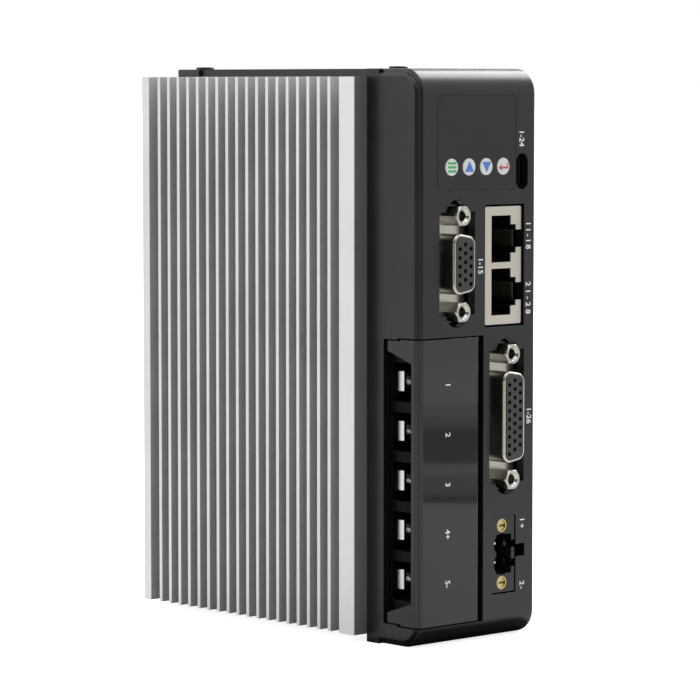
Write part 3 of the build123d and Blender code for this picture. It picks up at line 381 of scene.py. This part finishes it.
# The insulator's edges get a painted highlight, a thin lighter line along each rim.
finish("black_insulator", (0.002, 0.002, 0.002), (0.004, 0.004, 0.004), (0.4, 0.5), edge=1.5e-4,
       edge_highlight=(0.05, 0.05, 0.05), Specular_IOR_Level=0.08)
finish("header", (0.006, 0.006, 0.0065), (0.009, 0.009, 0.0095), (0.3, 0.36), grain=3500,
       depth=6e-6, edge=1e-4, Specular_IOR_Level=0.42)
finish("overlay", (0.007, 0.0065, 0.0085), (0.01, 0.0095, 0.0115), (0.2, 0.24), grain=6000,
       depth=1e-6, Specular_IOR_Level=0.42)
finish("smoked_window", (0.008, 0.008, 0.007), (0.01, 0.01, 0.009), (0.16, 0.2), grain=5000,
       depth=1e-6)

# %% Keys, cores, boards and the parts on them
finish("display_module", (0.03, 0.03, 0.03), (0.05, 0.05, 0.05), (0.3, 0.5))
finish("key_white", (0.64, 0.67, 0.66), (0.71, 0.73, 0.72), (0.35, 0.45))
finish("port_core", (0.016, 0.017, 0.016), (0.022, 0.023, 0.022), (0.4, 0.5))
finish("chip", (0.012, 0.012, 0.013), (0.02, 0.02, 0.02), (0.4, 0.6))
finish("capacitor", (0.01, 0.015, 0.04), (0.02, 0.025, 0.06), (0.3, 0.4))
finish("sheet", (0.5, 0.46, 0.32), (0.6, 0.55, 0.4), (0.4, 0.5))
finish("pad", (0.3, 0.32, 0.36), (0.4, 0.42, 0.46), (0.7, 0.8))
finish("board", (0.02, 0.11, 0.05), (0.03, 0.16, 0.07), (0.3, 0.4))

# %% [markdown]
# ## Metals
# The heatsink is extruded aluminium. The die leaves fine lines along it and the acid dip that
# follows makes it satin, so it scatters light almost like paint: two thirds metal, one third
# matt. The outer side of the front fin is painted darker, as painted shade where little light
# reaches it. It could be a material slot of its own, but a blend by depth keeps it within the
# same piece and finish. The sockets are nickel plated, and the network shield is tinned sheet
# with a warm tone.

# %% Aluminium
_, tree, shader = finish(
    "aluminium", (0.635, 0.635, 0.637), (0.675, 0.675, 0.677), (0.385, 0.435), metal=0.68,
    grain=900, stretch=(1, 1, 0.02), depth=3e-6, edge=1.5e-4)
spot = tree.nodes.new("ShaderNodeNewGeometry")
split = tree.nodes.new("ShaderNodeSeparateXYZ")
tree.links.new(spot.outputs["Position"], split.inputs[0])
outer_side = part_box("heatsink")[0].y
shade_from, shade_to = outer_side + 1e-4, outer_side + 3e-4
# Painted shade: the front fin's outer side is blended towards a darker grey by its depth.
painted_shade = between(tree, split.outputs["Y"], 1.0, 0.0, shade_from, shade_to)
tree.links.new(blend_colours(tree, painted_shade, shader.inputs["Base Color"].links[0].from_socket,
                             (0.3, 0.3, 0.305)), shader.inputs["Base Color"])
print("painted shade on the outer side of the front fin at y =", round(outer_side * 1000, 2), "mm")

# %% Other metals
finish("steel", (0.45, 0.45, 0.44), (0.55, 0.55, 0.54), (0.12, 0.2), metal=1.0)
finish("black_steel", (0.015, 0.015, 0.015), (0.03, 0.03, 0.03), (0.35, 0.45), metal=0.3)
finish("tinned_brass", (0.62, 0.6, 0.55), (0.72, 0.7, 0.66), (0.25, 0.4), metal=1.0)
finish("tinned_steel", (0.62, 0.62, 0.6), (0.74, 0.74, 0.71), (0.14, 0.22), metal=1.0, edge=1e-4)
finish("brass", (0.34, 0.25, 0.1), (0.5, 0.41, 0.2), (0.2, 0.32), metal=1.0, edge=1e-4)
finish("port_shell", (0.4, 0.38, 0.33), (0.48, 0.46, 0.4), (0.2, 0.3), metal=1.0, edge=1e-4)
finish("gold_contact", (0.5, 0.36, 0.15), (0.62, 0.46, 0.21), (0.2, 0.3), metal=1.0)
finish("jackscrew", (0.4, 0.385, 0.35), (0.5, 0.485, 0.45), (0.22, 0.32), metal=1.0, edge=1.5e-4)
finish("port_shield", (0.48, 0.45, 0.39), (0.54, 0.51, 0.45), (0.36, 0.44), metal=1.0, edge=1e-4)

# %% Each slot gets the finish of its name
for node in nodes.values():
    for slot in node.material_slots:
        slot.material = made[slot.material.name.split(".")[0]]
print("finishes made:", len(made))

# %% [markdown]
# ## Printed marks
# The drive carries small white marks beside its sockets and on the door. Here they are plain
# numbers, which count the contacts and the terminals, with a plus and a minus where direct
# current goes in or out. Text is the quickest way to get a printed mark: the font lays it out,
# it is made into a mesh a few hundredths of a millimetre thick, and it is stood on the face.
# All the marks read downwards, so that they fit beside the tall sockets.

# %% Print helpers
ink_t = 2e-5            # thickness of the ink
digit_share = 0.7       # a digit's height as a share of the font's size


def ink_piece(name, mesh, body, ink):
    """Put a printed mesh into the scene, let it ride on a body and give it its ink."""
    mesh.materials.clear()
    mesh.materials.append(ink)
    mark = place(mesh, name)
    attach(mark, body)


def printed(name, words, middle, body, spread=1.0, height=1.7e-3, bold=4e-5):
    """Print words on a face that looks forwards, centred there, to be read downwards."""
    text = bpy.data.curves.new(name, "FONT")
    text.body = words
    text.size = height / digit_share
    text.offset = bold
    text.space_character = spread
    text.extrude = ink_t / 2
    text.align_x = "CENTER"
    text.align_y = "CENTER"
    block = place(text, name + "_text")
    bpy.context.view_layer.update()
    flat = bpy.data.meshes.new_from_object(block.evaluated_get(
        bpy.context.evaluated_depsgraph_get()))
    bpy.data.objects.remove(block)
    reading_down = Matrix(((0, 1, 0), (0, 0, -1), (-1, 0, 0))).to_4x4()
    flat.transform(Matrix.Translation(Vector(middle) - Vector((0, ink_t, 0))) @ reading_down)
    ink_piece(name, flat, body, white_ink)


def middle_of(node):
    """The middle of a node's front: x and z of its box's middle, and y of its front."""
    low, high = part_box(node)
    return Vector(((low.x + high.x) / 2, low.y, (low.z + high.z) / 2))


white_ink = finish("white_ink", (0.75, 0.76, 0.76), (0.85, 0.86, 0.86), (0.4, 0.5))[0]

# %% Marks beside the sockets
front_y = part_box("front_shell")[0].y
port_marks = [          # name, words, beside which node, how far right and up, letter spacing
        ("service_mark", "1-24", "service_port_shell", -0.00025, 0.0087, 1.0),
        ("network_mark_1", "11-18", "network_shield", 0.0087, 0.0077, 1.35),
        ("network_mark_2", "21-28", "network_shield", 0.0087, -0.0089, 1.6),
        ("feedback_mark", "1-15", "feedback_port_shell", 0.0084, -0.0008, 1.0),
        ("signal_mark", "1-26", "signal_port_shell", 0.0082, -0.0003, 1.0),
        ("header_mark_1", "1+", "header_pins", 0.0073, 0.0077, 1.3),
        ("header_mark_2", "2-", "header_pins", 0.0073, -0.0089, 1.2)]
for name, words, node, right, up, spread in port_marks:
    at = middle_of(node)
    printed(name, words, (at.x + right, front_y, at.z + up), "drive", spread)
print("marks beside the sockets:", len(port_marks))

# %% Marks on the door
door_middle = middle_of("terminal_door")
bays = [space["box_m"] for space in frame["record"]["physics"]["openings"]
        if space["name"].startswith("wire_bay")]
bays.sort(key=lambda space: -space[0][2])
for count, (space, words) in enumerate(zip(bays, ("1", "2", "3", "4+", "5-")), start=1):
    printed(f"terminal_mark_{count}", words, (door_middle.x - 0.0004, door_middle.y,
                                              (space[0][2] + space[1][2]) / 2 - 0.0006), "door")
print("marks on the door:", len(bays))

# %% [markdown]
# ## Symbols on the keys
# Each key has one printed symbol: three green bars open the menu, blue triangles go up and
# down, and a red bent arrow enters. A symbol is a few flat outlines in millimetres around the
# key's middle, extruded by the thickness of the ink. It rides on its key and goes in with it.

# %% Outlines made thick
def outlined(name, outlines, node, ink):
    """Extrude outlines given in millimetres into a thin symbol on the face of a key."""
    at = middle_of(node)
    flat = bmesh.new()
    for outline in outlines:
        flat.faces.new([flat.verts.new((at.x + x / 1000, at.y - ink_t / 2, at.z + z / 1000))
                        for x, z in outline])
    thick = bmesh.ops.extrude_face_region(flat, geom=list(flat.faces))
    bmesh.ops.translate(flat, vec=(0, -ink_t, 0),
                        verts=[v for v in thick["geom"] if isinstance(v, bmesh.types.BMVert)])
    bmesh.ops.recalc_face_normals(flat, faces=flat.faces)
    mesh = bpy.data.meshes.new(name)
    flat.to_mesh(mesh)
    flat.free()
    ink_piece(name, mesh, node, ink)


def bar(z, half_length=1.5, half_width=0.3):
    """The outline of a level bar around x = 0."""
    return [(-half_length, z - half_width), (half_length, z - half_width),
            (half_length, z + half_width), (-half_length, z + half_width)]


# %% The four symbols
triangle = [(-1.6, -1.25), (1.6, -1.25), (0, 1.5)]
bent_arrow = [(-1.9, -0.35), (-0.7, -1.2), (-0.7, -0.6), (1.7, -0.6), (1.7, 0.95),
              (1.2, 0.95), (1.2, -0.1), (-0.7, -0.1), (-0.7, 0.5)]
green_ink = finish("green_ink", (0.06, 0.38, 0.1), (0.08, 0.44, 0.13), (0.4, 0.5))[0]
blue_ink = finish("blue_ink", (0.06, 0.18, 0.55), (0.08, 0.22, 0.64), (0.4, 0.5))[0]
red_ink = finish("red_ink", (0.5, 0.07, 0.08), (0.58, 0.1, 0.11), (0.4, 0.5))[0]
outlined("menu_symbol", [bar(-1.05), bar(0), bar(1.05)], "button_menu", green_ink)
outlined("up_symbol", [triangle], "button_up", blue_ink)
outlined("down_symbol", [[(-x, -z) for x, z in triangle]], "button_down", blue_ink)
outlined("enter_symbol", [bent_arrow], "button_enter", red_ink)
print("symbols on the keys: 4")
